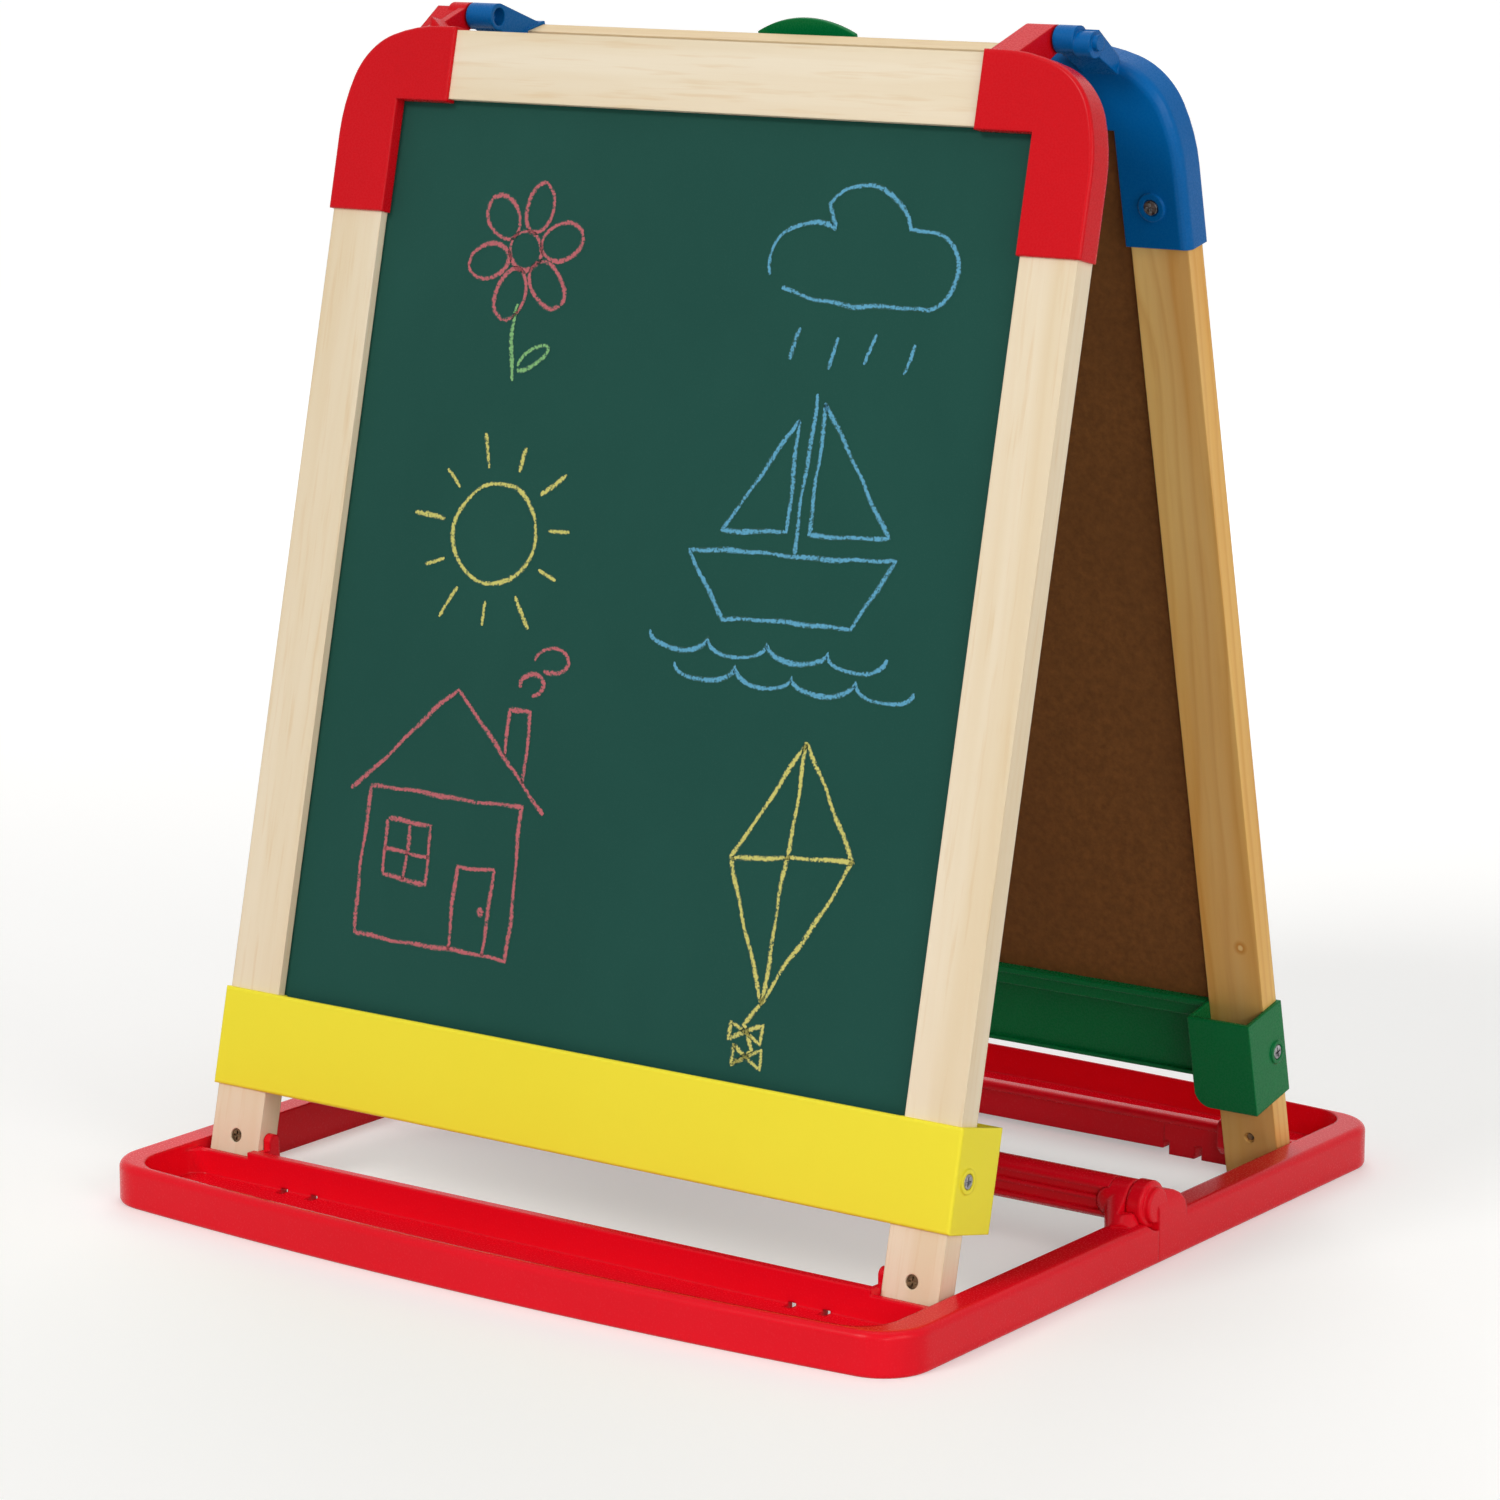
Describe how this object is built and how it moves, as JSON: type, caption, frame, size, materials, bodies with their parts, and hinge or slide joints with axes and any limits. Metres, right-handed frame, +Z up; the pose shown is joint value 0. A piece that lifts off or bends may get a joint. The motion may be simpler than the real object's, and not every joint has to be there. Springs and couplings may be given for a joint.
{
  "type": "kids easel",
  "caption": "Folding tabletop easel for a child: chalkboard and dry-erase frames hinged at the top, with bright plastic corners, on a red two-part tray base.",
  "frame": {"origin": "on the table, at the centre of the base, under the top hinge", "axes": "+X across the boards, to the right when facing the chalkboard; +Y from the chalkboard side to the dry-erase side; +Z up"},
  "size_m": [0.447, 0.4324, 0.5442],
  "materials": {
    "front_wood": "satin",
    "rear_wood": "satin",
    "chalkboard": "matte",
    "white_board": "gloss",
    "red_plastic": "satin",
    "base_plastic": "satin",
    "blue_plastic": "satin",
    "yellow_plastic": "satin",
    "green_plastic": "satin",
    "steel": "satin"
  },
  "bodies": {
    "front_base": {"front_base": "base_plastic", "base_crossbar": "base_plastic", "base_hinge_pins": "steel"},
    "rear_base": {"rear_base": "base_plastic"},
    "front_frame": {"front_left_stile": "front_wood", "front_right_stile": "front_wood", "front_top_rail": "front_wood", "chalkboard": "chalkboard", "front_left_corner": "red_plastic", "front_right_corner": "red_plastic", "front_bottom_rail": "yellow_plastic", "front_corner_screws": "steel", "front_rail_screws": "steel", "front_foot_screws": "steel", "front_pivot_pins": "steel"},
    "rear_frame": {"rear_left_stile": "rear_wood", "rear_right_stile": "rear_wood", "rear_top_rail": "rear_wood", "dry_erase_board": "white_board", "rear_left_corner": "blue_plastic", "rear_right_corner": "blue_plastic", "rear_bottom_rail": "green_plastic", "rear_corner_screws": "steel", "rear_rail_screws": "steel", "rear_foot_screws": "steel", "rear_pivot_pins": "steel", "rear_hinge_pin": "steel", "front_hinge_pin": "steel", "clip_base": "green_plastic", "clip_pin": "steel", "clip_spring": "steel"},
    "clip_lever": {"clip_lever": "green_plastic"}
  },
  "joints": [
    {"name": "base_fold", "type": "hinge", "parent": "front_base", "child": "rear_base", "pos_m": [0, 0, 0.027], "axis": [1, 0, 0], "range_deg": [0, 160.66]},
    {"name": "front_leg_pivot", "type": "hinge", "parent": "front_base", "child": "front_frame", "pos_m": [0, -0.14236, 0.0225], "axis": [1, 0, 0], "range_deg": [0, 92.78]},
    {"name": "rear_leg_pivot", "type": "hinge", "parent": "rear_base", "child": "rear_frame", "pos_m": [0, 0.14236, 0.0225], "axis": [1, 0, 0], "range_deg": [-92.78, 0]},
    {"name": "clip_pivot", "type": "hinge", "parent": "rear_frame", "child": "clip_lever", "pos_m": [0, 0.0409, 0.52302], "axis": [1, 0, 0], "range_deg": [0, 24], "stiffness_Nm_per_rad": 0.12, "springref_deg": -14.32}
  ],
  "couplings": [
    {"joint": "front_leg_pivot", "follows": "base_fold", "ratio": 0.57718},
    {"joint": "rear_leg_pivot", "follows": "base_fold", "ratio": -0.57718}
  ]
}
